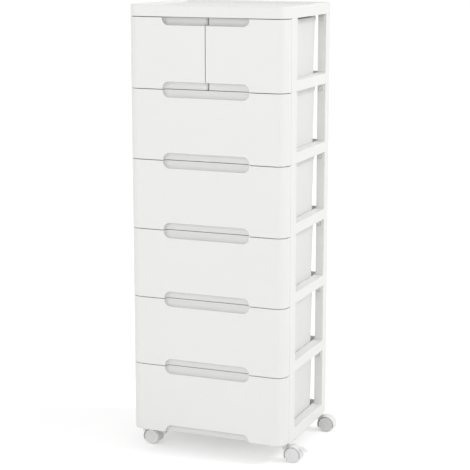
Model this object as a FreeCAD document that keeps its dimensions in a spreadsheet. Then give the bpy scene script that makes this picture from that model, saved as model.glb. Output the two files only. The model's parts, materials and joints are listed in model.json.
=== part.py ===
import FreeCAD, Part
import math
import os
import Sketcher

# A six-tier plastic drawer tower on twin-wheel casters.
# Millimetres. X runs to the right, Y to the rear, Z up. The origin is on the floor,
# under the middle of the tower's body.

SIZE_TABLE = (
    # the whole tower
    ("tower_width", 380.0, "body, side to side"),
    ("tower_depth", 300.0, "body, front to back"),
    ("tier_pitch", 160.4, "one tier, seam to seam"),
    ("front_lift", 46.0, "floor to the lowest drawer front"),
    ("corner_radius", 25.0, "front corners in plan"),
    ("rear_radius", 8.0, "rear outer corners in plan"),
    ("overrun", 4.0, "how far every cut runs past its face"),
    ("seat_clear", 0.3, "gap round a tenon, pin or runner"),
    ("fit_clear", 0.05, "radial gap of a shaft that turns"),
    # side frames
    ("frame_thick", 20.0, "posts and rails, side to side"),
    ("frame_wall", 2.5, "moulded wall of a side frame"),
    ("front_post_depth", 37.5, "front post, front to back"),
    ("rear_post_depth", 33.0, "rear post, front to back"),
    ("rail_height", 24.0, "rail at the foot of each side frame"),
    ("window_radius", 2.5, "lower corners of the side window"),
    ("tenon_length", 18.0, "leg that drops into the post below"),
    ("pin_drop", 10.5, "lock pin below the seam"),
    ("pin_radius", 3.5, "lock pin shank"),
    ("pin_reach", 15.0, "lock pin shank, length"),
    ("pin_head_radius", 7.5, "lock pin head"),
    ("pin_head_thick", 3.0, "lock pin head, thickness"),
    ("pin_dimple_radius", 4.2, "hollow in the lock pin head"),
    ("pin_dimple_depth", 1.5, "depth of that hollow"),
    # shelves
    ("shelf_plate", 2.2, "shelf floor thickness"),
    ("shelf_flange", 3.7, "upright flange beside the rail"),
    ("shelf_setback", 2.0, "front posts to the shelf's front edge"),
    ("rear_bar_depth", 15.0, "rear cross bar, front to back"),
    ("stop_rise", 3.0, "drawer stop above the rear bar"),
    ("stop_thick", 2.5, "drawer stop thickness"),
    ("runner_rise", 5.0, "runner above the shelf floor"),
    ("runner_width", 6.0, "runner, side to side"),
    ("outer_runner_inset", 34.0, "tower side to the outer runner"),
    ("inner_runner_offset", 20.0, "tower middle to the inner runner"),
    ("lip_drop", 3.0, "catch lip below each shelf"),
    ("lip_thick", 2.5, "catch lip, front to back"),
    ("tab_length", 40.0, "shelf tab in the rail, front to back"),
    ("tab_height", 8.0, "shelf tab, height"),
    ("tab_reach", 6.0, "shelf tab, into the rail"),
    ("tab_spacing", 120.0, "shelf tabs, centre to centre"),
    ("divider_thick", 3.0, "centre divider of the top tier"),
    ("divider_rear", 30.0, "divider to the back of the tower"),
    # base and casters
    ("base_plate", 3.0, "plate under the lowest side frames"),
    ("stem_inset", 13.0, "caster stem from the tower side"),
    ("front_stem_inset", 44.0, "front caster stems from the front"),
    ("rear_stem_inset", 17.0, "rear caster stems from the back"),
    ("socket_radius", 5.5, "caster socket sleeve, outside"),
    ("socket_length", 30.0, "caster socket sleeve, length"),
    ("stem_radius", 4.0, "caster stem"),
    ("stem_grip", 27.0, "stem inside the socket"),
    ("stem_depth", 12.4, "stem inside the hood"),
    ("wheel_radius", 18.0, "caster wheel"),
    ("wheel_width", 9.5, "one wheel of the pair"),
    ("wheel_rim_width", 2.5, "raised rim round the wheel face"),
    ("wheel_face_depth", 1.2, "wheel face below its rim"),
    ("wheel_hub_radius", 5.0, "hub cap on the wheel face"),
    ("tread_chamfer", 1.2, "bevel at the edge of the tread"),
    ("axle_radius", 2.0, "wheel axle"),
    ("wheel_skin", 2.0, "wheel face in front of the axle end"),
    ("trail", 21.0, "stem axis to wheel axis"),
    ("web_thick", 6.0, "hood web between the wheels"),
    ("wheel_side_gap", 0.5, "web to wheel"),
    ("well_clear", 1.4, "tread to the inside of the hood"),
    ("hood_wall", 1.6, "hood over the wheels"),
    ("hood_skirt", 9.0, "floor to the hood's lower edge"),
    ("hood_boss_radius", 6.2, "boss round the stem"),
    ("hood_boss_length", 15.6, "boss round the stem, length"),
    ("hood_gap", 0.4, "base to the top of the hood"),
    ("brake_out", 19.5, "wheel axis to brake pivot, sideways"),
    ("brake_up", 16.5, "wheel axis to brake pivot, upwards"),
    ("brake_lug_radius", 3.4, "hood lug round the brake pivot"),
    ("brake_pin_radius", 1.5, "brake pivot pin"),
    ("brake_ear_radius", 3.4, "lever ears round the pivot"),
    ("brake_width", 13.0, "lever, along the axle"),
    ("brake_length", 15.0, "pivot to the tip of the lever"),
    ("brake_thick", 3.4, "lever thickness"),
    ("brake_side_gap", 0.4, "lug to each lever ear"),
    ("brake_tilt", 25.0, "lever below the level, in degrees"),
    # top tray
    ("top_height", 26.6, "top above the highest seam"),
    ("top_wall", 2.5, "skirt and floor of the top"),
    ("tray_depth", 7.0, "recess in the top"),
    ("tray_rim", 9.0, "rim round the recess"),
    ("tray_corner", 16.0, "corners of the recess"),
    ("rim_round", 3.0, "rounding of the rim"),
    ("top_rib", 2.5, "ribs under the top"),
    # drawer fronts
    ("front_gap", 1.5, "gap between stacked fronts"),
    ("front_wall", 2.5, "drawer front wall"),
    ("front_depth", 22.0, "front face to the tub"),
    ("front_wrap", 34.0, "front face to the end of its side wrap"),
    ("wrap_gap", 1.0, "side wrap to the front post"),
    ("edge_radius", 1.5, "inner edge of the two small fronts"),
    ("front_rib", 2.5, "upright ribs that seat the tub"),
    ("inner_rib_offset", 45.0, "tower middle to the inner ribs"),
    ("outer_rib_offset", 136.0, "tower middle to the outer ribs"),
    ("rib_margin", 9.0, "ribs short of the seams"),
    ("snap_width", 8.0, "snap tab that enters the tub"),
    ("snap_height", 12.0, "snap tab, height"),
    ("snap_root", 5.0, "snap tab, into its rib"),
    ("snap_reach", 1.4, "snap tab, past the tub wall"),
    ("snap_hook", 1.2, "hook on the tab, above the slot"),
    ("handle_half_width", 104.0, "finger recess, half its width"),
    ("handle_half_height", 17.5, "finger recess, above or below a seam"),
    ("handle_depth", 13.0, "finger recess, depth"),
    ("handle_radius", 15.0, "corners of the finger recess"),
    # drawer tubs
    ("tub_wall", 1.8, "tub walls"),
    ("tub_floor", 1.8, "tub floor"),
    ("tub_side_gap", 2.5, "rail to the tub's upper edge"),
    ("tub_draft", 3.0, "tub taper per side, top to bottom"),
    ("tub_rear_gap", 40.0, "tub to the back of the tower"),
    ("tub_radius", 9.0, "upright corners of the tub"),
    ("tub_headroom", 6.0, "tub rim below the seam"),
    ("tub_rim_height", 9.0, "rim band of the tub"),
    ("tub_rim_width", 1.2, "rim band, outside the wall"),
    ("tub_middle_gap", 3.0, "divider to a small tub's upper edge"),
    ("catch_rise", 4.5, "catch on the tub rim"),
    ("catch_length", 10.0, "catch, front to back"),
    ("drawer_travel", 200.0, "how far a drawer slides out"),
    ("catch_clear", 0.5, "catch to lip at full travel"),
)

DRAWER_TIERS = (1, 2, 3, 4, 5)
TOP_TIER = 6
TIERS = DRAWER_TIERS + (TOP_TIER,)
SIDES = (("left", -1), ("right", 1))
TOP_RIB_SHARES = (0.25, 0.6)
QUARTER_TURN = math.pi / 2
EDGE_TOLERANCE = 1e-6


class Size:
    """A length: its value now, and the sheet expression that keeps a feature bound to it."""

    def __init__(self, text, value):
        self.text = text
        self.value = value

    def __add__(self, other):
        return Size(f"({self.text} + {other.text})", self.value + other.value)

    def __sub__(self, other):
        return Size(f"({self.text} - {other.text})", self.value - other.value)

    def __neg__(self):
        return Size(f"(-{self.text})", -self.value)

    def __mul__(self, factor):
        return Size(f"({self.text} * {factor})", self.value * factor)

    def __truediv__(self, divisor):
        return Size(f"({self.text} / {divisor})", self.value / divisor)


class NamedSizes:
    """One attribute for each alias of the sheet."""


ZERO = Size("0", 0.0)
doc = FreeCAD.newDocument("drawer_tower")
sheet = doc.addObject("Spreadsheet::Sheet", "sizes")
mm = NamedSizes()
for row, (alias, amount, meaning) in enumerate(SIZE_TABLE, start=1):
    sheet.set(f"A{row}", alias)
    sheet.set(f"B{row}", str(amount))
    sheet.set(f"C{row}", meaning)
    sheet.setAlias(f"B{row}", alias)
    setattr(mm, alias, Size(f"sizes.{alias}", amount))
doc.recompute()

sub_parts = []


def bind(item, prop, size):
    item.setExpression(prop, size.text)


def ordered(one, other):
    """The two lengths with the smaller first, so that a side can be mirrored by its sign."""
    return (one, other) if one.value <= other.value else (other, one)


def mirrored(side, near, far):
    """The span from NEAR to FAR outwards from the middle, on side -1 or 1."""
    return ordered(near * side, far * side)


def register(item, name):
    item.Label = name
    sub_parts.append(item)
    return item


def put(item, x=ZERO, y=ZERO, z=ZERO):
    for axis, size in (("x", x), ("y", y), ("z", z)):
        bind(item, f"Placement.Base.{axis}", size)
    return item


class Moulding:
    """A PartDesign body built from sketches on its own origin planes.

    Plane XY has X across and Y along, XZ has X across and Z along, and YZ has Y across
    and Z along. Each pad or pocket runs from LOW to HIGH on the axis that is left.
    """

    def __init__(self, name):
        self.name = name
        self.body = register(doc.addObject("PartDesign::Body", name), name)
        self.steps = 0

    def sketch(self, plane, low, high, cutting):
        self.steps += 1
        role = f"{plane}_Plane"
        support = next(f for f in self.body.Origin.OriginFeatures if f.Role == role)
        sketch = self.body.newObject("Sketcher::SketchObject", f"{self.name}_sketch_{self.steps}")
        sketch.AttachmentSupport = [(support, "")]
        sketch.MapMode = "FlatFace"
        start = high if cutting else low
        if plane == "XZ":
            start = -(low if cutting else high)
        bind(sketch, "AttachmentOffset.Base.z", start)
        return sketch

    def finish(self, kind, sketch, low, high):
        feature = self.body.newObject(f"PartDesign::{kind}", f"{self.name}_{kind}_{self.steps}")
        feature.Profile = sketch
        bind(feature, "Length", high - low)
        self.body.Tip = feature
        return feature

    def add(self, plane, across, along, low, high, radii=None):
        return self.add_each(plane, [(across, along)], low, high, radii)

    def cut(self, plane, across, along, low, high, radii=None):
        return self.cut_each(plane, [(across, along)], low, high, radii)

    def add_each(self, plane, rectangles, low, high, radii=None):
        """One pad of several rectangles, each (across, along)."""
        sketch = self.sketch(plane, low, high, False)
        for across, along in rectangles:
            rounded_rectangle(sketch, across, along, radii)
        return self.finish("Pad", sketch, low, high)

    def cut_each(self, plane, rectangles, low, high, radii=None):
        """One pocket of several rectangles, each (across, along)."""
        sketch = self.sketch(plane, low, high, True)
        for across, along in rectangles:
            rounded_rectangle(sketch, across, along, radii)
        return self.finish("Pocket", sketch, low, high)

    def add_disc(self, plane, centre, radius, low, high):
        sketch = self.sketch(plane, low, high, False)
        circle(sketch, centre, radius)
        return self.finish("Pad", sketch, low, high)

    def cut_disc(self, plane, centre, radius, low, high):
        sketch = self.sketch(plane, low, high, True)
        circle(sketch, centre, radius)
        return self.finish("Pocket", sketch, low, high)

    def loft(self, kind, lower, upper):
        """A ruled loft in plan between two rounded rectangles, each (z, across, along, radius)."""
        profiles = []
        for z, across, along, radius in (lower, upper):
            sketch = self.sketch("XY", z, z, False)
            rounded_rectangle(sketch, across, along, (radius,) * 4)
            profiles.append(sketch)
        feature = self.body.newObject(f"PartDesign::{kind}", f"{self.name}_{kind}_{self.steps}")
        feature.Profile = profiles[0]
        feature.Sections = profiles[1:]
        feature.Ruled = True
        self.body.Tip = feature
        return feature

    def revolve(self, points):
        """Turns an outline of (radius, y) points about the body's Y axis."""
        sketch = self.sketch("XY", ZERO, ZERO, False)
        polygon(sketch, points)
        feature = self.body.newObject("PartDesign::Revolution", f"{self.name}_turned")
        feature.Profile = sketch
        feature.ReferenceAxis = (sketch, ["V_Axis"])
        feature.Angle = 360
        self.body.Tip = feature
        return feature


def pin_point(sketch, geometry, point, x=None, y=None):
    for kind, size in (("DistanceX", x), ("DistanceY", y)):
        if size is not None:
            rule = Sketcher.Constraint(kind, -1, 1, geometry, point, size.value)
            bind(sketch, f"Constraints[{sketch.addConstraint(rule)}]", size)


def polygon(sketch, points):
    """A closed outline of straight lines, each corner held at its own two sizes."""
    count = len(points)
    for index, (x, y) in enumerate(points):
        next_x, next_y = points[(index + 1) % count]
        start = FreeCAD.Vector(x.value, y.value, 0)
        end = FreeCAD.Vector(next_x.value, next_y.value, 0)
        sketch.addGeometry(Part.LineSegment(start, end))
    for index, (x, y) in enumerate(points):
        sketch.addConstraint(Sketcher.Constraint("Coincident", index, 2, (index + 1) % count, 1))
        pin_point(sketch, index, 1, x, y)


def rounded_rectangle(sketch, across, along, radii=None):
    """A rectangle; radii are for its corners from low-low, turning anticlockwise."""
    radii = radii or (None,) * 4
    (x_low, x_high), (y_low, y_high) = across, along
    corners = ((x_low, y_low), (x_high, y_low), (x_high, y_high), (x_low, y_high))
    ways = ((1, 0), (0, 1), (-1, 0), (0, -1))
    amounts = [radius.value if radius else 0.0 for radius in radii]
    lines = []
    for index, (way_x, way_y) in enumerate(ways):
        after = (index + 1) % 4
        (x, y), (next_x, next_y) = corners[index], corners[after]
        start = FreeCAD.Vector(x.value + way_x * amounts[index], y.value + way_y * amounts[index], 0)
        end = FreeCAD.Vector(
            next_x.value - way_x * amounts[after], next_y.value - way_y * amounts[after], 0
        )
        lines.append(sketch.addGeometry(Part.LineSegment(start, end)))
        direction = "Horizontal" if way_x else "Vertical"
        sketch.addConstraint(Sketcher.Constraint(direction, lines[index]))
    for index, radius in enumerate(radii):
        before = lines[index - 1]
        if radius is None:
            sketch.addConstraint(Sketcher.Constraint("Coincident", before, 2, lines[index], 1))
            continue
        x, y = corners[index]
        step_x, step_y = ways[index]
        back_x, back_y = ways[index - 1]
        centre = FreeCAD.Vector(
            x.value + (step_x - back_x) * radius.value, y.value + (step_y - back_y) * radius.value, 0
        )
        ring = Part.Circle(centre, FreeCAD.Vector(0, 0, 1), radius.value)
        turn = (index + 2) * QUARTER_TURN
        arc = sketch.addGeometry(Part.ArcOfCircle(ring, turn, turn + QUARTER_TURN))
        sketch.addConstraint(Sketcher.Constraint("Tangent", before, 2, arc, 1))
        sketch.addConstraint(Sketcher.Constraint("Tangent", arc, 2, lines[index], 1))
        rule = Sketcher.Constraint("Radius", arc, radius.value)
        bind(sketch, f"Constraints[{sketch.addConstraint(rule)}]", radius)
    pin_point(sketch, lines[0], 1, y=y_low)
    pin_point(sketch, lines[1], 1, x=x_high)
    pin_point(sketch, lines[2], 1, y=y_high)
    pin_point(sketch, lines[3], 1, x=x_low)


def circle(sketch, centre, radius):
    middle = FreeCAD.Vector(centre[0].value, centre[1].value, 0)
    ring = Part.Circle(middle, FreeCAD.Vector(0, 0, 1), radius.value)
    index = sketch.addGeometry(ring)
    pin_point(sketch, index, 3, *centre)
    rule = Sketcher.Constraint("Radius", index, radius.value)
    bind(sketch, f"Constraints[{sketch.addConstraint(rule)}]", radius)


def cylinder(name, radius, length, x=ZERO, y=ZERO, z=ZERO, along_y=False):
    item = doc.addObject("Part::Cylinder", name)
    bind(item, "Radius", radius)
    bind(item, "Height", length)
    if along_y:
        item.Placement.Rotation = FreeCAD.Rotation(FreeCAD.Vector(1, 0, 0), -90)
    return put(item, x, y, z)


def joined(kind, name, pieces):
    item = doc.addObject(f"Part::{kind}", name)
    if kind == "Cut":
        item.Base, item.Tool = pieces
    elif kind == "Compound":
        item.Links = pieces
    else:
        item.Shapes = pieces
    return item


# Places that several pieces share
side_face = mm.tower_width / 2
inner_face = side_face - mm.frame_thick
front_face = -(mm.tower_depth / 2)
back_face = mm.tower_depth / 2
front_post = (front_face + mm.front_wrap + mm.wrap_gap,
              front_face + mm.front_wrap + mm.wrap_gap + mm.front_post_depth)
rear_post = (back_face - mm.rear_post_depth, back_face)
tub_front = front_face + mm.front_depth
shelf_front = front_post[0] + mm.shelf_setback
rear_bar_front = back_face - mm.rear_bar_depth
front_hollow = (front_post[0] + mm.frame_wall, front_post[1] - mm.frame_wall)
rear_hollow = (rear_post[0] + mm.frame_wall, rear_post[1] - mm.frame_wall)
hollow_outer = side_face - mm.frame_wall
hollow_radius = mm.rear_radius - mm.frame_wall
pin_x = (inner_face + hollow_outer) / 2
tub_seat = mm.shelf_plate + mm.runner_rise + mm.seat_clear
tub_top = mm.tier_pitch - mm.tub_headroom
lip = (shelf_front, shelf_front + mm.lip_thick)
base_under = mm.front_lift - mm.base_plate


def level(tier):
    """Height of the seam under a tier, counted from the lowest, above the floor."""
    return mm.front_lift + mm.tier_pitch * (tier - 1)


def corner_radii(side, front, rear):
    """Radii for a rectangle in plan whose outer edge is on side -1 or 1."""
    return (None, front, rear, None) if side > 0 else (front, None, None, rear)


def tenon_spans():
    """Front-to-back spans of the two tenons that enter the posts below."""
    for hollow in (front_hollow, rear_hollow):
        yield (hollow[0] + mm.seat_clear, hollow[1] - mm.seat_clear)


def add_tenons(piece, side, top):
    across = mirrored(side, inner_face, hollow_outer - mm.seat_clear)
    for span, radius in zip(tenon_spans(), (None, hollow_radius)):
        piece.add("XY", across, span, -mm.tenon_length, top, corner_radii(side, None, radius))
    hole_end = rear_hollow[0] - mm.frame_wall + mm.pin_reach + mm.seat_clear
    centre = (pin_x * side, -mm.pin_drop)
    piece.cut_disc("XZ", centre, mm.pin_radius + mm.fit_clear, rear_hollow[0], hole_end)


def side_frame(side_name, side, tier):
    """A post, a rail and a post in one moulding, hollow towards the inside of the tower."""
    piece = Moulding(f"side_frame_{side_name}_{tier}")
    across = mirrored(side, inner_face, side_face)
    hollow = mirrored(side, inner_face - mm.overrun, hollow_outer)
    above = mm.tier_pitch + mm.overrun
    outside = corner_radii(side, None, mm.rear_radius)
    inside = corner_radii(side, None, hollow_radius)
    piece.add("XY", across, (front_post[0], back_face), ZERO, mm.tier_pitch, outside)
    past = mirrored(side, inner_face - mm.overrun, side_face + mm.overrun)
    rounded = (mm.window_radius, mm.window_radius, None, None)
    piece.cut("YZ", (front_post[1], rear_post[0]), (mm.rail_height, above), *past, rounded)
    piece.cut("XY", hollow, front_hollow, mm.frame_wall, above)
    piece.cut("XY", hollow, rear_hollow, mm.frame_wall, above, inside)
    rail_top = mm.rail_height - mm.frame_wall
    piece.cut("XY", hollow, (front_post[1], rear_post[0]), mm.frame_wall, rail_top)
    pin_hole = mm.pin_radius + mm.fit_clear
    centre = (pin_x * side, mm.tier_pitch - mm.pin_drop)
    piece.cut_disc("XZ", centre, pin_hole, rear_post[0] - mm.overrun, rear_hollow[0] + mm.seat_clear)
    if tier == TIERS[0]:
        for stem_y in stem_places():
            centre = ((side_face - mm.stem_inset) * side, stem_y)
            radius = mm.socket_radius + mm.seat_clear
            piece.cut_disc("XY", centre, radius, -mm.overrun, mm.frame_wall + mm.seat_clear)
    else:
        add_tenons(piece, side, ZERO)
    put(piece.body, z=level(tier))


def stem_places():
    return (front_face + mm.front_stem_inset, back_face - mm.rear_stem_inset)


def shelf(name, tier, base=False):
    """A dust floor with side flanges, runners, a rear bar and tabs that sit in the rails."""
    piece = Moulding(name)
    full = (-inner_face, inner_face)
    length = (shelf_front, back_face)
    piece.add("XY", full, length, ZERO, mm.shelf_plate)
    piece.add("XY", full, (rear_bar_front, back_face), ZERO, mm.rail_height)
    stop = (rear_bar_front, rear_bar_front + mm.stop_thick)
    flange_inner = inner_face - mm.shelf_flange
    stop_top = mm.rail_height + mm.stop_rise
    piece.add("XY", (-flange_inner, flange_inner), stop, ZERO, stop_top)
    bar_hollow = (stop[1], back_face - mm.frame_wall)
    bar_across = (-(inner_face - mm.frame_wall), inner_face - mm.frame_wall)
    bar_top = mm.rail_height - mm.frame_wall
    runner_top = mm.shelf_plate + mm.runner_rise
    outer_runner = side_face - mm.outer_runner_inset
    flanges, runners, tabs = [], [], []
    tab_middle = (front_post[1] + rear_post[0]) / 2
    for side_name, side in SIDES:
        flanges.append((mirrored(side, flange_inner, inner_face), (shelf_front, rear_bar_front)))
        for near in (outer_runner - mm.runner_width, mm.inner_runner_offset):
            runner = mirrored(side, near, near + mm.runner_width)
            runners.append((runner, (shelf_front, rear_bar_front)))
        for way in (-1, 1):
            middle = tab_middle + mm.tab_spacing * way / 2
            span = (middle - mm.tab_length / 2, middle + mm.tab_length / 2)
            tabs.append((mirrored(side, flange_inner, inner_face + mm.tab_reach), span))
    piece.add_each("XY", flanges, ZERO, mm.rail_height)
    piece.add_each("XY", runners, ZERO, runner_top)
    piece.add_each("XY", tabs, mm.frame_wall, mm.frame_wall + mm.tab_height)
    if base:
        ends = (mm.rear_radius, mm.rear_radius)
        across = (-side_face, side_face)
        piece.add("XY", across, (front_post[0], back_face), -mm.base_plate, ZERO, (None, None) + ends)
    piece.cut("XY", bar_across, bar_hollow, -(mm.base_plate + mm.overrun), bar_top)
    if base:
        for side_name, side in SIDES:
            for stem_y in stem_places():
                centre = ((side_face - mm.stem_inset) * side, stem_y)
                above = mm.overrun
                piece.cut_disc("XY", centre, mm.socket_radius, -(mm.base_plate + above), above)
    else:
        lip_across = (-(inner_face - mm.seat_clear), inner_face - mm.seat_clear)
        piece.add("XY", lip_across, lip, -mm.lip_drop, ZERO)
    put(piece.body, z=level(tier))


def top_tray():
    """The top: a skirted plate with a shallow tray, on four legs that enter the posts."""
    piece = Moulding("top_tray")
    plan = ((-side_face, side_face), (front_face, back_face))
    front, rear = mm.corner_radius, mm.rear_radius
    piece.add("XY", *plan, ZERO, mm.top_height, (front, front, rear, rear))
    wall = mm.top_wall
    inner_x = side_face - wall
    under = mm.top_height - mm.tray_depth - wall
    radii = (front - wall, front - wall, rear - wall, rear - wall)
    along = (front_face + wall, back_face - wall)
    piece.cut("XY", (-inner_x, inner_x), along, -mm.overrun, under, radii)
    past = (-(side_face + mm.overrun), side_face + mm.overrun)
    piece.cut("XY", past, (front_face - mm.overrun, front_post[0]), -mm.overrun, mm.front_gap / 2)
    rim_x = side_face - mm.tray_rim
    along = (front_face + mm.tray_rim, back_face - mm.tray_rim)
    recess_floor = mm.top_height - mm.tray_depth
    above = mm.top_height + mm.overrun
    piece.cut("XY", (-rim_x, rim_x), along, recess_floor, above, (mm.tray_corner,) * 4)
    for side_name, side in SIDES:
        add_tenons(piece, side, under)
    lip_x = inner_face - mm.seat_clear
    piece.add("XY", (-lip_x, lip_x), lip, -mm.lip_drop, under)
    for share in TOP_RIB_SHARES:
        rib_y = front_face + mm.tower_depth * share
        rib = (rib_y, rib_y + mm.top_rib)
        for side_name, side in SIDES:
            across = mirrored(side, mm.divider_thick, inner_face)
            piece.add("XY", across, rib, mm.seat_clear, under)
    put(piece.body, z=level(TOP_TIER + 1))
    return piece


def soften_rim(piece):
    """Rounds the outer and inner upper edges of the tray's rim."""
    tip = piece.body.Tip
    names = []
    for index, edge in enumerate(tip.Shape.Edges, start=1):
        box = edge.BoundBox
        if box.ZMin > mm.top_height.value - EDGE_TOLERANCE:
            names.append(f"Edge{index}")
    feature = piece.body.newObject("PartDesign::Fillet", "top_tray_rim_round")
    feature.Base = (tip, names)
    bind(feature, "Radius", mm.rim_round)
    piece.body.Tip = feature


def centre_divider():
    """The upright plate between the two small drawers, from shelf floor to top."""
    piece = Moulding("centre_divider")
    across = (-(mm.divider_thick / 2), mm.divider_thick / 2)
    along = (lip[1] + mm.seat_clear, back_face - mm.divider_rear)
    top = mm.tier_pitch + mm.top_height - mm.tray_depth - mm.top_wall
    piece.add("XY", across, along, mm.shelf_plate, top)
    put(piece.body, z=level(TOP_TIER))


def rib_places(half):
    """Places of the ribs behind a front, on one side for a small one and on both for a full one."""
    for side in (half,) if half else (-1, 1):
        for offset in (mm.inner_rib_offset, mm.outer_rib_offset):
            yield offset * side


def snap_tab(x, gap):
    """Side-to-side and upright spans of a snap tab, or of its slot when GAP is the clearance."""
    across = mm.snap_width / 2 + gap
    middle = mm.tier_pitch / 2
    upright = mm.snap_height / 2 + gap
    return (x - across, x + across), (middle - upright, middle + upright)


def drawer_front(name, tier, half=0):
    """A front that wraps round the tower's front corners. HALF is -1 or 1 for a small one."""
    piece = Moulding(name)
    wall = mm.front_wall
    bottom, top = mm.front_gap / 2, mm.tier_pitch - mm.front_gap / 2
    if half:
        across = mirrored(half, mm.front_gap / 2, side_face)
        outer, inner = mm.corner_radius, mm.edge_radius
        face_radii = (inner, outer) if half > 0 else (outer, inner)
        handle = mirrored(half, mm.front_gap / 2, mm.handle_half_width)
        pan = mirrored(half, mm.front_gap / 2, mm.handle_half_width + wall)
        grip = mirrored(half, -mm.overrun, mm.handle_half_width)
        rounded = (None, mm.handle_radius) if half > 0 else (mm.handle_radius, None)
        cavity = mirrored(half, mm.front_gap / 2 + wall, side_face - wall)
        opening = mirrored(half, -mm.overrun, side_face - wall)
    else:
        across = (-side_face, side_face)
        face_radii = (mm.corner_radius, mm.corner_radius)
        grip = (-mm.handle_half_width, mm.handle_half_width)
        pan = (grip[0] - wall, grip[1] + wall)
        rounded = (mm.handle_radius, mm.handle_radius)
        cavity = (across[0] + wall, across[1] - wall)
        opening = cavity
    wrap_end = front_face + mm.front_wrap
    piece.add("XY", across, (front_face, wrap_end), bottom, top, face_radii + (None, None))
    cavity_radii = tuple(inner_radius(radius, wall) for radius in face_radii) + (None, None)
    along = (front_face + wall, wrap_end + mm.overrun)
    piece.cut("XY", cavity, along, bottom + wall, top - wall, cavity_radii)
    piece.cut("XY", opening, (tub_front, wrap_end + mm.overrun), bottom - mm.overrun, top + mm.overrun)
    rib_span = (mm.rib_margin, mm.tier_pitch - mm.rib_margin)
    ribs, tabs, hooks = [], [], []
    for rib_x in rib_places(half):
        rib = (rib_x - mm.front_rib / 2, rib_x + mm.front_rib / 2)
        ribs.append((rib, rib_span))
        tab, height = snap_tab(rib_x, ZERO)
        tabs.append((tab, height))
        hooks.append((tab, (height[1], height[1] + mm.snap_hook)))
    tab_end = tub_front + mm.tub_wall + mm.snap_reach
    piece.add_each("XZ", ribs, front_face + wall, tub_front)
    piece.add_each("XZ", tabs, tub_front - mm.snap_root, tab_end)
    piece.add_each("XZ", hooks, tub_front + mm.tub_wall + mm.fit_clear, tab_end)
    deep = front_face + mm.handle_depth
    reach = mm.handle_half_height
    low_handle = (-mm.overrun, reach)
    high_handle = (mm.tier_pitch - reach, mm.tier_pitch + mm.overrun)
    low_pan = (bottom, reach + wall)
    high_pan = (mm.tier_pitch - reach - wall, top)
    low_round = (None, None) + tuple(reversed(rounded))
    high_round = rounded + (None, None)
    for pan_span, span, radii in (
        (low_pan, low_handle, low_round),
        (high_pan, high_handle, high_round),
    ):
        piece.add("XZ", pan, pan_span, front_face + wall, deep + wall)
        piece.cut("XZ", grip, span, front_face - mm.overrun, deep, radii)
    put(piece.body, z=level(tier))


def inner_radius(radius, wall):
    """The inside radius of a wall; a sharp inside corner where the wall uses it all up."""
    return radius - wall if radius.value > wall.value else None


def tub(name, tier, half=0):
    """An open box with drafted walls, a rim band and two catches that stop it on the lip."""
    piece = Moulding(name)
    top_x = inner_face - mm.tub_side_gap
    low_x = top_x - mm.tub_draft
    rear_top = back_face - mm.tub_rear_gap
    rear_low = rear_top - mm.tub_draft
    wall, rim = mm.tub_wall, mm.tub_rim_width
    if half:
        near_top = mm.divider_thick / 2 + mm.tub_middle_gap
        near_low = near_top + mm.tub_draft
    else:
        near_top = -top_x
        near_low = -low_x
    side = half or 1

    def walls(inset_low, inset_top, z_low, z_top, radius):
        lower = ordered((near_low + inset_low) * side, (low_x - inset_low) * side)
        upper = ordered((near_top + inset_top) * side, (top_x - inset_top) * side)
        low_along = (tub_front + inset_low, rear_low - inset_low)
        top_along = (tub_front + inset_top, rear_top - inset_top)
        return (z_low, lower, low_along, radius), (z_top, upper, top_along, radius)

    piece.loft("AdditiveLoft", *walls(ZERO, ZERO, tub_seat, tub_top, mm.tub_radius))
    rim_span = ordered((near_top - rim) * side, (top_x + rim) * side)
    rim_along = (tub_front, rear_top + rim)
    rim_low = tub_top - mm.tub_rim_height
    piece.add("XY", rim_span, rim_along, rim_low, tub_top, (mm.tub_radius,) * 4)
    floor_top = tub_seat + mm.tub_floor
    inner = mm.tub_radius - wall
    piece.loft("SubtractiveLoft", *walls(wall, wall, floor_top, tub_top, inner))
    slots = [snap_tab(rib_x, mm.seat_clear) for rib_x in rib_places(half)]
    piece.cut_each("XZ", slots, tub_front - mm.overrun, tub_front + wall + mm.fit_clear)
    catch_front = lip[1] + mm.drawer_travel + mm.catch_clear
    catch_span = (catch_front, catch_front + mm.catch_length)
    catch_top = tub_top + mm.catch_rise
    for catch_side in (-1, 1):
        if catch_side == side:
            across = ordered((top_x - wall / 2) * side, (top_x + rim) * side)
        else:
            across = ordered((near_top - rim) * side, (near_top + wall / 2) * side)
        piece.add("XY", across, catch_span, rim_low, catch_top)
    put(piece.body, z=level(tier))


def lock_pins():
    """Push-in pins, one through each rear post into the tenon above it."""
    pins = []
    for tier in TIERS:
        for side_name, side in SIDES:
            tag = f"{side_name}_{tier}"
            x, z = pin_x * side, level(tier + 1) - mm.pin_drop
            head_y = rear_post[0] - mm.pin_head_thick
            head = cylinder(f"pin_head_{tag}", mm.pin_head_radius, mm.pin_head_thick, x, head_y, z, True)
            shank = cylinder(f"pin_shank_{tag}", mm.pin_radius, mm.pin_reach, x, rear_post[0], z, True)
            dimple_y = head_y - mm.overrun
            depth = mm.overrun + mm.pin_dimple_depth
            dimple = cylinder(f"pin_dimple_{tag}", mm.pin_dimple_radius, depth, x, dimple_y, z, True)
            solid = joined("MultiFuse", f"pin_solid_{tag}", [head, shank])
            pins.append(joined("Cut", f"lock_pin_{tag}", (solid, dimple)))
    register(joined("Compound", "frame_lock_pins", pins), "frame_lock_pins")


def caster_places():
    front_y, rear_y = stem_places()
    for side_name, side in SIDES:
        x = (side_face - mm.stem_inset) * side
        yield f"front_{side_name}", x, front_y, True
        yield f"rear_{side_name}", x, rear_y, False


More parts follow.
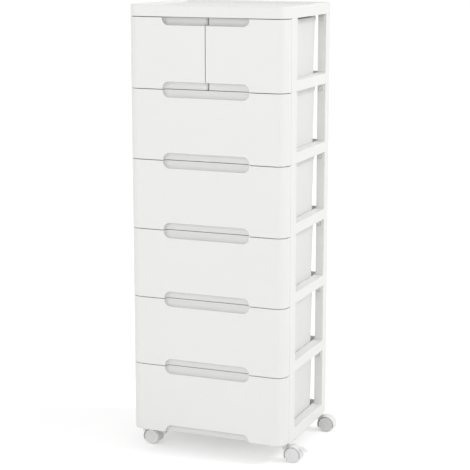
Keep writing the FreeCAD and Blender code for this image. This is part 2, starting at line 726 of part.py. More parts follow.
def sockets():
    """Sleeves in the base that grip the caster stems."""
    sleeves = []
    for place, x, y, braked in caster_places():
        tube = cylinder(f"socket_tube_{place}", mm.socket_radius, mm.socket_length, x, y, base_under)
        bore = cylinder(
            f"socket_bore_{place}",
            mm.stem_radius,
            mm.socket_length + mm.overrun * 2,
            x,
            y,
            base_under - mm.overrun,
        )
        sleeves.append(joined("Cut", f"socket_{place}", (tube, bore)))
    register(joined("Compound", "caster_sockets", sleeves), "caster_sockets")


def caster(place, x, y, braked):
    """A twin-wheel caster: stem, hood, axle, two wheels and, in front, a brake lever."""
    hood_top = base_under - mm.hood_gap
    stem_low = hood_top - mm.stem_depth
    stem = cylinder(
        f"caster_{place}_stem", mm.stem_radius, base_under + mm.stem_grip - stem_low, x, y, stem_low
    )
    register(stem, f"caster_{place}_stem")
    hood(place, x, y, braked, hood_top, stem_low)
    axle_x = x + mm.trail
    wheel_inner = mm.web_thick / 2 + mm.wheel_side_gap
    axle_half = wheel_inner + mm.wheel_width - mm.wheel_skin - mm.wheel_face_depth
    axle = cylinder(
        f"caster_{place}_axle", mm.axle_radius, axle_half * 2, axle_x, y - axle_half, mm.wheel_radius, True
    )
    register(axle, f"caster_{place}_axle")
    for face, way in (("front", -1), ("rear", 1)):
        wheel(f"caster_{place}_wheel_{face}", axle_x, y, way, wheel_inner, axle_half)
    if braked:
        brake_lever(place, axle_x + mm.brake_out, y, mm.wheel_radius + mm.brake_up)


def wheel(name, x, y, way, inner, bore_end):
    """A wheel with a raised rim, a sunk face and a hub cap over the axle end."""
    piece = Moulding(name)
    outer = inner + mm.wheel_width
    face = outer - mm.wheel_face_depth
    radius, bevel = mm.wheel_radius, mm.tread_chamfer
    rim_inner = radius - mm.wheel_rim_width
    outline = (
        (mm.axle_radius, inner),
        (radius - bevel, inner),
        (radius, inner + bevel),
        (radius, outer - bevel),
        (radius - bevel, outer),
        (rim_inner, outer),
        (rim_inner - mm.wheel_face_depth, face),
        (mm.wheel_hub_radius + mm.wheel_face_depth, face),
        (mm.wheel_hub_radius, outer),
        (ZERO, outer),
        (ZERO, bore_end),
        (mm.axle_radius, bore_end),
    )
    piece.revolve([(across, along * way) for across, along in outline])
    put(piece.body, x, y, mm.wheel_radius)


def hood(place, x, y, braked, top, stem_low):
    """The swivelling body: a web between the wheels, an arched cover, the stem boss and its neck."""
    piece = Moulding(f"caster_{place}_hood")
    axle_centre = (mm.trail, mm.wheel_radius)
    well = mm.wheel_radius + mm.well_clear
    drum = well + mm.hood_wall
    web = mm.web_thick / 2
    half = web + mm.wheel_side_gap + mm.wheel_width
    piece.add_disc("XZ", axle_centre, drum, -half, half)
    boss_low = top - mm.hood_boss_length
    piece.add_disc("XY", (ZERO, ZERO), mm.hood_boss_radius, boss_low, top)
    piece.add("XZ", (ZERO, mm.trail), (boss_low, mm.wheel_radius + drum), -web, web)
    across = (mm.trail - drum - mm.overrun, mm.trail + drum + mm.overrun)
    below = (mm.wheel_radius - drum - mm.overrun, mm.hood_skirt)
    piece.cut("XZ", across, below, -(half + mm.overrun), half + mm.overrun)
    past = mm.hood_boss_radius + half
    piece.cut_disc("XZ", axle_centre, well, web, past)
    piece.cut_disc("XZ", axle_centre, well, -past, -web)
    piece.cut_disc("XY", (ZERO, ZERO), mm.stem_radius + mm.fit_clear, stem_low, top + mm.overrun)
    piece.cut_disc("XZ", axle_centre, mm.axle_radius + mm.fit_clear, -past, past)
    if braked:
        pivot = (mm.trail + mm.brake_out, mm.wheel_radius + mm.brake_up)
        lug = mm.brake_lug_radius
        piece.add_disc("XZ", pivot, lug, -web, web)
        arm_across = (pivot[0] - lug * 2, pivot[0])
        arm_along = (mm.wheel_radius, pivot[1])
        piece.add("XZ", arm_across, arm_along, -web, web)
        piece.cut_disc("XZ", pivot, mm.brake_pin_radius + mm.fit_clear, -past, past)
    put(piece.body, x, y)


def brake_lever(place, x, y, z):
    """A foot lever: a paddle with two ears and its own pivot pin through the hood's lug."""
    piece = Moulding(f"caster_{place}_brake")
    half = mm.brake_width / 2
    thick = mm.brake_thick / 2
    slot = mm.web_thick / 2 + mm.brake_side_gap
    piece.add_disc("XZ", (ZERO, ZERO), mm.brake_ear_radius, -half, half)
    piece.add("XZ", (ZERO, mm.brake_length), (-thick, thick), -half, half)
    slot_end = mm.brake_lug_radius + mm.brake_side_gap * 2
    clear = mm.brake_ear_radius + mm.overrun
    piece.cut("XZ", (-clear, slot_end), (-clear, clear), -slot, slot)
    piece.add_disc("XZ", (ZERO, ZERO), mm.brake_pin_radius, -half, half)
    piece.body.Placement.Rotation = FreeCAD.Rotation(FreeCAD.Vector(0, 1, 0), 1)
    bind(piece.body, "Placement.Rotation.Angle", mm.brake_tilt)
    put(piece.body, x, y, z)


def check(item):
    for state in ("Invalid", "Error"):
        if state in item.State:
            raise RuntimeError(f"{item.Name} is {state}")


# The tower
for side_name, side in SIDES:
    for tier in TIERS:
        side_frame(side_name, side, tier)
shelf("base_frame", TIERS[0], base=True)
for tier in TIERS[1:]:
    shelf(f"shelf_{tier}", tier)
top = top_tray()
centre_divider()
lock_pins()

# The drawers
for tier in DRAWER_TIERS:
    drawer_front(f"drawer_front_{tier}", tier)
    tub(f"drawer_tub_{tier}", tier)
for side_name, side in SIDES:
    drawer_front(f"drawer_front_top_{side_name}", TOP_TIER, side)
    tub(f"drawer_tub_top_{side_name}", TOP_TIER, side)

# The casters
sockets()
for place, x, y, braked in caster_places():
    caster(place, x, y, braked)

doc.recompute()
soften_rim(top)
doc.recompute()

for item in doc.Objects:
    check(item)
    if item.TypeId in ("PartDesign::Pocket", "PartDesign::SubtractiveLoft"):
        if item.Shape.Volume >= item.BaseFeature.Shape.Volume:
            raise RuntimeError(f"{item.Name} cuts nothing")
for item in sub_parts:
    if item.Shape.isNull() or not item.Shape.isValid():
        raise RuntimeError(f"{item.Label} has no valid shape")

os.makedirs("parts", exist_ok=True)
for item in sub_parts:
    item.Shape.exportStep(f"parts/{item.Label}.step")
print(len(sub_parts), "sub-parts written")
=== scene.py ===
import json
import math

import bmesh
import bpy
from mathutils import Matrix, Vector


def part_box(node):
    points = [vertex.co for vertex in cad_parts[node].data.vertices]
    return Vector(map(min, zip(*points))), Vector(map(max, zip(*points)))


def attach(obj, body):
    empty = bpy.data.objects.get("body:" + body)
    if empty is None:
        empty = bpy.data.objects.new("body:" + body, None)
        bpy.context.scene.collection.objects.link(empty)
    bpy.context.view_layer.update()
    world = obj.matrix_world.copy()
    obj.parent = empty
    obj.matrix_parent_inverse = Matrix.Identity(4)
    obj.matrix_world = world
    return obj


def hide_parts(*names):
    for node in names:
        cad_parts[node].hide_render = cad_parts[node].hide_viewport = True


# A six-tier drawer tower in moulded polypropylene, on twin-wheel casters.
# Metres, in the row frame: X right, Y to the rear, Z up, the floor at zero.

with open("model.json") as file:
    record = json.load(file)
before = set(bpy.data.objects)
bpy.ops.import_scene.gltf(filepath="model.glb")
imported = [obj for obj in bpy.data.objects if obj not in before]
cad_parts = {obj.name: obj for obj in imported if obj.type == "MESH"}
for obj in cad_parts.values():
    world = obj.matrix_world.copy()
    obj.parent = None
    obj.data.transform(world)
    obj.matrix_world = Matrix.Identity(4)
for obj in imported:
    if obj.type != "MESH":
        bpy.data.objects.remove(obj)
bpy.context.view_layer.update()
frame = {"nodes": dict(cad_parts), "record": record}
nodes = frame["nodes"]
body_of_node = {
    node: body
    for body, members in frame["record"]["behaviour"]["bodies"].items()
    for node in members
}

MM = 0.001
TIERS = 6

# The main places, read from the frame
_, tray_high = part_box("top_tray")
front_low, front_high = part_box("drawer_front_1")
second_low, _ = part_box("drawer_front_2")
half_width = front_high.x
face_y = front_low.y
back_y = tray_high.y
wrap_end_y = front_high.y
tier_pitch = second_low.z - front_low.z
front_gap = second_low.z - front_high.z
first_seam = front_low.z - front_gap / 2
seams = [first_seam + tier_pitch * tier for tier in range(TIERS + 1)]

# Sizes of the CAD shape that tell its edges apart
CORNER_RADIUS = 25 * MM
RECESS_HALF_WIDTH = 104 * MM
RECESS_HALF_HEIGHT = 17.5 * MM
RECESS_DEPTH = 13 * MM
TRAY_RIM = 9 * MM
TRAY_DEPTH = 7 * MM
SLACK = 0.35 * MM

# Radii of the moulded edges
RECESS_RIM = 1.6 * MM
SCOOP_RADIUS = 9 * MM
FRONT_SKIN_EDGE = 0.8 * MM
FRONT_WRAP_EDGE = 0.6 * MM
FRAME_SKIN_EDGE = 1.1 * MM
FRAME_INNER_EDGE = 0.6 * MM
FRAME_SEAM_EDGE = 0.3 * MM
TRAY_FLOOR_EDGE = 3.0 * MM
TRAY_SKIRT_EDGE = 0.8 * MM
THIN_EDGE = 0.5 * MM
CASTER_EDGE = 0.7 * MM
WHEEL_EDGE = 0.35 * MM
EDGE_STEPS = 3
SCOOP_STEPS = 8

# Limits for cleaning a mesh: edges over the sharp angle are rounded, faces within the flat
# angle are joined, and a polygon drawn larger than its area by the spill covers a hole.
SHARP_ANGLE = math.radians(32)
FLAT_ANGLE = math.radians(0.5)
WELD_DISTANCE = 0.001 * MM
FLATNESS = 0.002 * MM
SPILL = 1.001


# Materials

PLASTIC_IOR = 1.49
# Widths of the flow shading and the gloss patches, how far the roughness varies, and the
# depth of the sink marks
FLOW_MM = 90
GLOSS_MM = 22
GLOSS_SPREAD = 0.05
SINK_DEPTH_MM = 0.06
# Marks of the lathe tool. Real ones are 0.1 to 0.2 mm apart, too fine to show.
TOOL_MARK_MM = 0.6
TOOL_MARK_DEPTH_MM = 0.02
STEEL_ROUGHNESS = (0.24, 0.36)


def linear(hex_colour):
    """An sRGB hex colour as linear red, green, blue and alpha."""
    channels = [int(hex_colour[i:i + 2], 16) / 255 for i in (1, 3, 5)]
    straight = [c / 12.92 if c <= 0.04045 else ((c + 0.055) / 1.055) ** 2.4 for c in channels]
    return (*straight, 1.0)


def add(tree, kind, settings, inputs):
    """One node with its settings; each input is a value or another node's output."""
    node = tree.nodes.new(kind)
    for name, value in settings.items():
        setattr(node, name, value)
    for name, value in inputs.items():
        if isinstance(value, bpy.types.NodeSocket):
            tree.links.new(value, node.inputs[name])
        else:
            node.inputs[name].default_value = value
    return node


def empty_tree(owner):
    """The node tree of a new material or world, with its default nodes taken out."""
    owner.use_nodes = True
    owner.node_tree.nodes.clear()
    return owner.node_tree


def moulded_plastic(name, colour, shade, roughness, grain_mm, grain_depth_mm, sink_mm):
    """A moulded plastic: spark-eroded grain, broad sink marks and faint flow shading.

    Real grain is 0.1 to 0.3 mm wide, too fine to show, so it is drawn several times coarser.
    """
    material = bpy.data.materials.new(name)
    tree = empty_tree(material)
    place = add(tree, "ShaderNodeTexCoord", {}, {}).outputs["Object"]
    flow = add(
        tree, "ShaderNodeTexNoise", {},
        {"Vector": place, "Scale": 1 / (FLOW_MM * MM), "Detail": 3.0},
    )
    tint = add(
        tree, "ShaderNodeMix", {"data_type": "RGBA"},
        {"Factor": flow.outputs["Fac"], "A": linear(colour), "B": linear(shade)},
    )
    gloss = add(
        tree, "ShaderNodeTexNoise", {},
        {"Vector": place, "Scale": 1 / (GLOSS_MM * MM), "Detail": 4.0},
    )
    rough = add(
        tree, "ShaderNodeMapRange", {},
        {
            "Value": gloss.outputs["Fac"],
            "To Min": roughness - GLOSS_SPREAD, "To Max": roughness + GLOSS_SPREAD,
        },
    )
    sink = add(
        tree, "ShaderNodeTexNoise", {},
        {"Vector": place, "Scale": 1 / (sink_mm * MM), "Detail": 1.0},
    )
    broad = add(
        tree, "ShaderNodeBump", {},
        {"Height": sink.outputs["Fac"], "Strength": 0.5, "Distance": SINK_DEPTH_MM * MM},
    )
    grain = add(
        tree, "ShaderNodeTexNoise", {},
        {"Vector": place, "Scale": 1 / (grain_mm * MM), "Detail": 2.0},
    )
    fine = add(
        tree, "ShaderNodeBump", {},
        {
            "Height": grain.outputs["Fac"], "Strength": 0.4, "Distance": grain_depth_mm * MM,
            "Normal": broad.outputs["Normal"],
        },
    )
    shader = add(
        tree, "ShaderNodeBsdfPrincipled", {},
        {
            "Base Color": tint.outputs["Result"], "Roughness": rough.outputs["Result"],
            "IOR": PLASTIC_IOR, "Normal": fine.outputs["Normal"],
        },
    )
    add(tree, "ShaderNodeOutputMaterial", {}, {"Surface": shader.outputs["BSDF"]})
    return material


def zinc_plated_steel():
    """Turned steel rod under a thin zinc coat: bright, with fine marks left by the tool."""
    material = bpy.data.materials.new("zinc_plated_steel")
    tree = empty_tree(material)
    place = add(tree, "ShaderNodeTexCoord", {}, {}).outputs["Object"]
    marks = add(
        tree, "ShaderNodeTexNoise", {},
        {"Vector": place, "Scale": 1 / (TOOL_MARK_MM * MM), "Detail": 2.0},
    )
    rough = add(
        tree, "ShaderNodeMapRange", {},
        {
            "Value": marks.outputs["Fac"],
            "To Min": STEEL_ROUGHNESS[0], "To Max": STEEL_ROUGHNESS[1],
        },
    )
    bump = add(
        tree, "ShaderNodeBump", {},
        {"Height": marks.outputs["Fac"], "Strength": 0.3, "Distance": TOOL_MARK_DEPTH_MM * MM},
    )
    shader = add(
        tree, "ShaderNodeBsdfPrincipled", {},
        {
            "Base Color": linear("#B9BABC"), "Metallic": 1.0,
            "Roughness": rough.outputs["Result"], "Normal": bump.outputs["Normal"],
        },
    )
    add(tree, "ShaderNodeOutputMaterial", {}, {"Surface": shader.outputs["BSDF"]})
    return material


# Polypropylene from a polished mould: an even satin white that rounds softly at the edges.
polypropylene_front = moulded_plastic(
    "moulded_polypropylene_front", "#EDEDEB", "#EBEBE9",
    roughness=0.40, grain_mm=0.9, grain_depth_mm=0.02, sink_mm=70,
)
# The finger pulls are spark-eroded deeper for grip, which leaves them duller than the face.
# Their darker grey is painted shade, for the shade that falls in the recesses.
pull_with_painted_shade = moulded_plastic(
    "grained_pull_with_painted_shade", "#E2E2E0", "#DFDFDD",
    roughness=0.55, grain_mm=1.4, grain_depth_mm=0.05, sink_mm=40,
)
# The frame is the same plastic as the fronts, a touch whiter and less glossy.
polypropylene_frame = moulded_plastic(
    "moulded_polypropylene_frame", "#EEEEEC", "#ECECEA",
    roughness=0.42, grain_mm=0.9, grain_depth_mm=0.02, sink_mm=60,
)
# Thin tub walls: a fine matt grain, and a greyer colour than the fronts that is painted shade,
# for the shade the tubs stand in inside the frame.
tub_with_painted_shade = moulded_plastic(
    "matt_moulded_tub_with_painted_shade", "#E7E7E5", "#E5E5E3",
    roughness=0.52, grain_mm=1.2, grain_depth_mm=0.03, sink_mm=50,
)
# Nylon for the hoods and levers: slightly glossier and cooler.
nylon_hood = moulded_plastic(
    "moulded_nylon_hood", "#EEEEEE", "#ECECEC",
    roughness=0.34, grain_mm=0.8, grain_depth_mm=0.015, sink_mm=12,
)
# Wheels: the same nylon, a little greyer than the hoods.
nylon_wheel = moulded_plastic(
    "moulded_nylon_wheel", "#E6E6E6", "#E1E1E0",
    roughness=0.38, grain_mm=0.8, grain_depth_mm=0.03, sink_mm=8,
)
steel = zinc_plated_steel()


# Pieces with rounded edges

def place_in_scene(name, data):
    """A new object of the scene that holds DATA."""
    thing = bpy.data.objects.new(name, data)
    bpy.context.scene.collection.objects.link(thing)
    return thing


def settle(piece):
    """Turns the piece's modifiers into a plain mesh and takes them off."""
    graph = bpy.context.evaluated_depsgraph_get()
    mesh = bpy.data.meshes.new_from_object(piece.evaluated_get(graph))
    piece.modifiers.clear()
    piece.data = mesh


def flat_region(seed):
    """The faces joined edge to edge with SEED that lie in its plane, and its normal."""
    corner, normal = seed.verts[0].co.copy(), seed.normal.copy()
    region, fresh = {seed}, [seed]
    while fresh:
        for edge in fresh.pop().edges:
            for face in edge.link_faces:
                if face in region:
                    continue
                if all(abs((vert.co - corner).dot(normal)) < FLATNESS for vert in face.verts):
                    region.add(face)
                    fresh.append(face)
    return region, normal


def spilling_faces(work):
    """Polygons whose triangles, as drawn, cover more than the polygon's own area.

    A polygon of three or four corners can't go round a hole.
    """
    drawn = {}
    for a, b, c in work.calc_loop_triangles():
        area = (b.vert.co - a.vert.co).cross(c.vert.co - a.vert.co).length / 2
        drawn[a.face] = drawn.get(a.face, 0.0) + area
    return [
        face for face in work.faces
        if len(face.verts) > 4 and drawn[face] > face.calc_area() * SPILL
    ]


def refill_flats(mesh):
    """Fills flat regions again from their outlines where a polygon spills over its own hole.

    Dissolving leaves a flat ring, such as the rim of a box, as one polygon that nearly
    touches itself. Drawn as it is, it would put a lid on the box.
    """
    work = bmesh.new()
    work.from_mesh(mesh)
    done = set()
    for seed in spilling_faces(work):
        if seed in done:
            continue
        region, normal = flat_region(seed)
        done |= region
        outline = [
            edge for edge in {edge for face in region for edge in face.edges}
            if sum(face in region for face in edge.link_faces) == 1
        ]
        bmesh.ops.delete(work, geom=list(region), context="FACES_KEEP_BOUNDARY")
        filled = bmesh.ops.triangle_fill(work, use_beauty=True, edges=outline, normal=normal)
        for face in filled["geom"]:
            if isinstance(face, bmesh.types.BMFace):
                face.smooth = True
                if face.normal.dot(normal) < 0:
                    face.normal_flip()
    work.to_mesh(mesh)
    work.free()


def is_sharp(edge):
    return len(edge.link_faces) == 2 and edge.calc_face_angle(0) >= SHARP_ANGLE


def softened(node, material, rounding, widest, steps=EDGE_STEPS, thin=False):
    """A copy of a CAD node's shape with its moulded edges rounded, in the node's place.

    ROUNDING gives the radius of an edge from its middle, up to WIDEST. A THIN piece keeps
    its inside corners sharp, where a rounding would fold over.
    """
    mesh = nodes[node].data.copy()
    mesh.materials.clear()
    mesh.materials.append(material)
    work = bmesh.new()
    work.from_mesh(mesh)
    bmesh.ops.remove_doubles(work, verts=work.verts, dist=WELD_DISTANCE)
    bmesh.ops.dissolve_limit(
        work, angle_limit=FLAT_ANGLE, verts=work.verts, edges=work.edges, delimit={"NORMAL"}
    )
    weight = work.edges.layers.float.new("bevel_weight_edge")
    for edge in filter(is_sharp, work.edges):
        start, end = edge.verts[0].co, edge.verts[1].co
        if edge.is_convex or not thin:
            edge[weight] = min(rounding((start + end) / 2) / widest, 1.0)
    for face in work.faces:
        face.smooth = True
        face.material_index = 0
    work.to_mesh(mesh)
    work.free()
    piece = place_in_scene(f"{node}_moulded", mesh)
    bevel = piece.modifiers.new("round", "BEVEL")
    bevel.width = widest
    bevel.segments = steps
    bevel.limit_method = "WEIGHT"
    bevel.use_clamp_overlap = False
    bevel.loop_slide = False
    settle(piece)
    refill_flats(piece.data)
    piece.data.set_sharp_from_angle(angle=SHARP_ANGLE)
    even = piece.modifiers.new("even", "WEIGHTED_NORMAL")
    even.keep_sharp = True
    settle(piece)
    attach(piece, body_of_node[node])
    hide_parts(node)
    return piece


def near(value, target):
    return abs(value - target) < SLACK


def from_seam(point):
    """How far a point is from the nearest seam between two tiers."""
    return min(abs(point.z - seam) for seam in seams)


def on_outside(point):
    """True on the outer skin: the face, the sides or a front corner's arc."""
    if near(point.y, face_y) or near(abs(point.x), half_width):
        return True
    reach = Vector((abs(point.x) - half_width + CORNER_RADIUS, point.y - face_y - CORNER_RADIUS))
    return reach.x > 0 and reach.y < 0 and near(reach.length, CORNER_RADIUS)


def in_recess(point):
    return (
        abs(point.x) < RECESS_HALF_WIDTH + SLACK
        and from_seam(point) < RECESS_HALF_HEIGHT + SLACK
        and point.y < face_y + RECESS_DEPTH + SLACK
    )


def front_rounding(point):
    """Soft rims and a scooped back in the finger recess, crisp edges at the seams."""
    if in_recess(point) and from_seam(point) >= front_gap:
        return SCOOP_RADIUS if near(point.y, face_y + RECESS_DEPTH) else RECESS_RIM
    if on_outside(point):
        return FRONT_SKIN_EDGE
    if near(point.y, wrap_end_y):
        return FRONT_WRAP_EDGE
    return 0.0


def frame_rounding(point):
    """Rounded outer edges, and thinner ones at the seams between tiers."""
    if from_seam(point) < SLACK:
        return FRAME_SEAM_EDGE if on_outside(point) or near(point.y, back_y) else 0.0
    return FRAME_SKIN_EDGE if on_outside(point) else FRAME_INNER_EDGE


def tray_rounding(point):
    """A soft foot round the tray's floor, and a thin rounding along the skirt."""
    floor_z = tray_high.z - TRAY_DEPTH
    if near(point.z, floor_z) and abs(point.x) < half_width - TRAY_RIM + SLACK:
        return TRAY_FLOOR_EDGE
    if point.z - seams[-1] < front_gap and (on_outside(point) or near(point.y, back_y)):
        return TRAY_SKIRT_EDGE
    return 0.0


def thin_rounding(point):
    return THIN_EDGE


def caster_rounding(point):
    return CASTER_EDGE


def wheel_rounding(point):
    return WHEEL_EDGE


def grain_pulls_and_paint_shade(front):
    """Gives the finger recesses, behind their rims, a duller grain of their own and a darker
    grey, which is painted shade.
    """
    front.data.materials.append(pull_with_painted_shade)
    # Painted shade: faces inside the recess take the darker grey of the pull material.
    for face in front.data.polygons:
        if in_recess(face.center) and face.center.y > face_y + RECESS_RIM:
            face.material_index = 1


def coat(node, material):
    """Gives a CAD node that shows as it is its material."""
    nodes[node].data.materials.clear()
    nodes[node].data.materials.append(material)


for node in sorted(nodes):
    if node == "frame_lock_pins":
        continue
    if node.startswith("drawer_front"):
        front = softened(
            node, polypropylene_front, front_rounding, SCOOP_RADIUS, SCOOP_STEPS
        )
        grain_pulls_and_paint_shade(front)
    elif node.startswith("drawer_tub"):
        softened(node, tub_with_painted_shade, thin_rounding, THIN_EDGE, thin=True)
    elif node.startswith("side_frame"):
        softened(node, polypropylene_frame, frame_rounding, FRAME_SKIN_EDGE)
    elif node == "top_tray":
        softened(node, polypropylene_frame, tray_rounding, TRAY_FLOOR_EDGE)
    elif node.startswith(("shelf", "base_frame", "centre_divider")):
        softened(node, polypropylene_frame, thin_rounding, THIN_EDGE, thin=True)
    elif node.endswith(("_hood", "_brake")):
        softened(node, nylon_hood, caster_rounding, CASTER_EDGE, thin=True)
    elif "_wheel_" in node:
        softened(node, nylon_wheel, wheel_rounding, WHEEL_EDGE)
    elif node.endswith(("_stem", "_axle")):
        coat(node, steel)
    else:
        coat(node, nylon_hood)


# Lock pins, one through each rear post under a seam

PIN_HEAD_RADIUS = 7.5 * MM
PIN_HEAD_THICK = 3.0 * MM
PIN_HEAD_EDGE = 0.9 * MM
PIN_GROOVE_INNER = 3.9 * MM
PIN_GROOVE_OUTER = 6.2 * MM
PIN_GROOVE_DEPTH = 2.4 * MM
PIN_GROOVE_EDGE = 0.3 * MM
PIN_GROOVE_STEPS = 4
PIN_RIM_STEPS = 5
PIN_SHANK_RADIUS = 3.5 * MM
PIN_SHANK_CHAMFER = 0.6 * MM
PIN_STEPS = 40

pins_low, pins_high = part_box("frame_lock_pins")
pin_x = pins_high.x - PIN_HEAD_RADIUS
pin_z = pins_low.z + PIN_HEAD_RADIUS


def turned(profile, steps):
    """A closed mesh that turns a (radius, y) profile, both ends on the axis, about Y."""
    work = bmesh.new()
    rings = []
    for radius, y in profile:
        if radius == 0:
            rings.append([work.verts.new((0, y, 0))] * steps)
            continue
        ring = []
        for step in range(steps):
            angle = 2 * math.pi * step / steps
            ring.append(work.verts.new((radius * math.cos(angle), y, radius * math.sin(angle))))
        rings.append(ring)
    for inner, outer in zip(rings, rings[1:]):
        for step in range(steps):
            after = (step + 1) % steps
            corners = [inner[step], inner[after], outer[after], outer[step]]
            work.faces.new(list(dict.fromkeys(corners)))
    bmesh.ops.recalc_face_normals(work, faces=work.faces)
    for face in work.faces:
        face.smooth = True
    mesh = bpy.data.meshes.new("turned")
    work.to_mesh(mesh)
    work.free()
    return mesh


def arc(radius, y, size, count, start, end):
    """Points of an arc of SIZE about (radius, y), from angle START to END in degrees."""
    points = []
    for index in range(count + 1):
        angle = math.radians(start + (end - start) * index / count)
        points.append((radius + size * math.cos(angle), y + size * math.sin(angle)))
    return points


def lock_pin_profile():
    """Half a section of a pin: a head with a ring groove in its face, then the shank."""
    inner = PIN_GROOVE_INNER - PIN_GROOVE_EDGE
    outer = PIN_GROOVE_OUTER + PIN_GROOVE_EDGE
    rim = PIN_HEAD_RADIUS - PIN_HEAD_EDGE
    shank_end = pins_high.y - pins_low.y
    return [
        (0, 0),
        *arc(inner, PIN_GROOVE_EDGE, PIN_GROOVE_EDGE, PIN_GROOVE_STEPS, -90, 0),
        (PIN_GROOVE_INNER, PIN_GROOVE_DEPTH),
        (PIN_GROOVE_OUTER, PIN_GROOVE_DEPTH),
        *arc(outer, PIN_GROOVE_EDGE, PIN_GROOVE_EDGE, PIN_GROOVE_STEPS, 180, 270),
        *arc(rim, PIN_HEAD_EDGE, PIN_HEAD_EDGE, PIN_RIM_STEPS, -90, 0),
        (PIN_HEAD_RADIUS, PIN_HEAD_THICK),
        (PIN_SHANK_RADIUS, PIN_HEAD_THICK),
        (PIN_SHANK_RADIUS, shank_end - PIN_SHANK_CHAMFER),
        (PIN_SHANK_RADIUS - PIN_SHANK_CHAMFER, shank_end),
        (0, shank_end),
    ]


def pin_rows_tree():
    """Copies of a pin up both rear posts, from named sizes."""
    tree = bpy.data.node_groups.new("lock_pin_rows", "GeometryNodeTree")
    face = tree.interface
    face.new_socket("Geometry", in_out="INPUT", socket_type="NodeSocketGeometry")
    for name in ("Pitch", "Half Spacing", "Lowest Height", "Face"):
        face.new_socket(name, in_out="INPUT", socket_type="NodeSocketFloat")
    face.new_socket("Tiers", in_out="INPUT", socket_type="NodeSocketInt")
    face.new_socket("Material", in_out="INPUT", socket_type="NodeSocketMaterial")
    face.new_socket("Geometry", in_out="OUTPUT", socket_type="NodeSocketGeometry")
    given = tree.nodes.new("NodeGroupInput").outputs
    rise = add(tree, "ShaderNodeCombineXYZ", {}, {"Z": given["Pitch"]}).outputs["Vector"]
    right = given["Half Spacing"]
    left = add(tree, "ShaderNodeMath", {"operation": "MULTIPLY"}, {0: right, 1: -1.0}).outputs[0]
    rows = add(tree, "GeometryNodeJoinGeometry", {}, {})
    for side in (left, right):
        start = add(
            tree, "ShaderNodeCombineXYZ", {},
            {"X": side, "Y": given["Face"], "Z": given["Lowest Height"]},
        ).outputs["Vector"]
        row = add(
            tree, "GeometryNodeMeshLine", {"mode": "OFFSET"},
            {"Count": given["Tiers"], "Start Location": start, "Offset": rise},
        )
        tree.links.new(row.outputs["Mesh"], rows.inputs["Geometry"])
    copies = add(
        tree, "GeometryNodeInstanceOnPoints", {},
        {"Points": rows.outputs["Geometry"], "Instance": given["Geometry"]},
    )
    solid = add(
        tree, "GeometryNodeRealizeInstances", {}, {"Geometry": copies.outputs["Instances"]}
    )
    dressed = add(
        tree, "GeometryNodeSetMaterial", {},
        {"Geometry": solid.outputs["Geometry"], "Material": given["Material"]},
    )
    add(tree, "NodeGroupOutput", {}, {"Geometry": dressed.outputs["Geometry"]})
    return tree


def lock_pins():
    pins = place_in_scene("frame_lock_pins_moulded", turned(lock_pin_profile(), PIN_STEPS))
    rows = pins.modifiers.new("rows", "NODES")
    rows.node_group = pin_rows_tree()
    values = {
        "Pitch": tier_pitch, "Half Spacing": pin_x, "Lowest Height": pin_z, "Face": pins_low.y,
        "Tiers": TIERS, "Material": polypropylene_frame,
    }
    for item in rows.node_group.interface.items_tree:
        if item.in_out == "INPUT" and item.name in values:
            rows[item.identifier] = values[item.name]
    settle(pins)
    pins.data.set_sharp_from_angle(angle=SHARP_ANGLE)
    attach(pins, "tower")
    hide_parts("frame_lock_pins")


lock_pins()


# Floor and light

FLOOR_REACH = 40.0
# The floor's glow to the eye, near the tower and away from it, between these distances.
# The weaker glow near the tower is painted shade round it.
LIFT_NEAR_PAINTED_SHADE = 0.345
LIFT_FAR = 0.43
LIFT_START = 0.35
LIFT_END = 2.4
# The world's light, level with the floor and straight above
HORIZON_LIGHT = 0.88
ZENITH_LIGHT = 0.56
# Name, place, side in metres and watts of each lamp
LAMPS = (
    ("overhead", (0.2, -0.6, 3.2), 2.6, 1),
    ("side_fill", (3.0, 0.6, 2.9), 1.1, 44),
    ("front_fill", (-0.3, -3.3, 1.5), 2.4, 27.5),
)


def seen_ray(tree):
    """One for a ray that the eye, a gloss or glass sends, otherwise zero."""
    ray = add(tree, "ShaderNodeLightPath", {}, {}).outputs
    gloss = add(
        tree, "ShaderNodeMath", {"operation": "MAXIMUM"},
        {0: ray["Is Glossy Ray"], 1: ray["Is Transmission Ray"]},
    )
    seen = add(
        tree, "ShaderNodeMath", {"operation": "MAXIMUM"},
        {0: ray["Is Camera Ray"], 1: gloss.outputs[0]},
    )
    return seen.outputs[0]


def studio_floor():
    """A white floor that takes the tower's shadow and runs to the horizon.

    To the eye it glows a little, less so near the tower, where the lamps light it; there the
    weaker glow is painted shade that deepens the tower's shadow.
    """
    quarters = ((-1, -1), (1, -1), (1, 1), (-1, 1))
    corners = [(x * FLOOR_REACH, y * FLOOR_REACH, 0) for x, y in quarters]
    mesh = bpy.data.meshes.new("studio_floor")
    mesh.from_pydata(corners, [], [(0, 1, 2, 3)])
    floor = place_in_scene("studio_floor", mesh)
    material = bpy.data.materials.new("white_paper_sweep")
    tree = empty_tree(material)
    paper = add(tree, "ShaderNodeBsdfDiffuse", {}, {"Color": linear("#F2F2F2")})
    place = add(tree, "ShaderNodeTexCoord", {}, {}).outputs["Object"]
    away = add(tree, "ShaderNodeVectorMath", {"operation": "LENGTH"}, {0: place}).outputs["Value"]
    # Painted shade: the glow is weaker near the tower, which darkens the floor round it.
    lift_with_painted_shade = add(
        tree, "ShaderNodeMapRange", {"interpolation_type": "SMOOTHSTEP"},
        {
            "Value": away, "From Min": LIFT_START, "From Max": LIFT_END,
            "To Min": LIFT_NEAR_PAINTED_SHADE, "To Max": LIFT_FAR,
        },
    )
    lift = add(
        tree, "ShaderNodeMath", {"operation": "MULTIPLY"},
        {0: seen_ray(tree), 1: lift_with_painted_shade.outputs["Result"]},
    )
    glow = add(tree, "ShaderNodeEmission", {}, {"Strength": lift.outputs[0]})
    both = add(tree, "ShaderNodeAddShader", {}, {0: paper.outputs[0], 1: glow.outputs[0]})
    add(tree, "ShaderNodeOutputMaterial", {}, {"Surface": both.outputs[0]})
    mesh.materials.append(material)


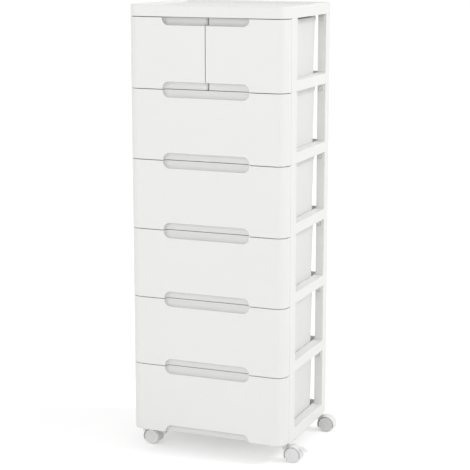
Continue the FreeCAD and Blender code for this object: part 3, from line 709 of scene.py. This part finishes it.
def white_world():
    """White to the eye. Its light comes more from the sides than from straight above."""
    world = bpy.data.worlds.new("studio")
    tree = empty_tree(world)
    way = add(tree, "ShaderNodeTexCoord", {}, {}).outputs["Generated"]
    rise = add(tree, "ShaderNodeSeparateXYZ", {}, {"Vector": way}).outputs["Z"]
    glow = add(
        tree, "ShaderNodeMapRange", {},
        {"Value": rise, "To Min": HORIZON_LIGHT, "To Max": ZENITH_LIGHT},
    )
    strength = add(
        tree, "ShaderNodeMapRange", {},
        {"Value": seen_ray(tree), "To Min": glow.outputs["Result"], "To Max": 1.0},
    )
    sky = add(
        tree, "ShaderNodeBackground", {},
        {"Color": (1, 1, 1, 1), "Strength": strength.outputs["Result"]},
    )
    add(tree, "ShaderNodeOutputWorld", {}, {"Surface": sky.outputs[0]})
    bpy.context.scene.world = world


def soft_box(name, place, size, watts):
    """A square lamp that faces the middle of the tower."""
    light = bpy.data.lights.new(name, "AREA")
    light.shape = "SQUARE"
    light.size = size
    light.energy = watts
    lamp = place_in_scene(name, light)
    lamp.location = place
    aim = Vector((0, 0, tray_high.z / 2)) - Vector(place)
    lamp.rotation_mode = "QUATERNION"
    lamp.rotation_quaternion = aim.to_track_quat("-Z", "Y")


studio_floor()
white_world()
for lamp_settings in LAMPS:
    soft_box(*lamp_settings)


# The camera stands to the tower's right and a little above it.

CAMERA_PLACE = Vector((1.308, -3.198, 1.184))
CAMERA_YAW = math.radians(22.09)
CAMERA_PITCH = math.radians(-11.26)
FOCAL_LENGTH = 115.0
SENSOR_WIDTH = 36.0
SIGHT_REACH = 200.0

lens = bpy.data.cameras.new("camera")
lens.lens = FOCAL_LENGTH
lens.sensor_width = SENSOR_WIDTH
lens.clip_end = SIGHT_REACH
camera = place_in_scene("camera", lens)
turn = Matrix.Rotation(CAMERA_YAW, 4, "Z") @ Matrix.Rotation(math.pi / 2 + CAMERA_PITCH, 4, "X")
camera.matrix_world = Matrix.Translation(CAMERA_PLACE) @ turn
bpy.context.scene.camera = camera
bpy.context.scene.view_settings.view_transform = "Standard"
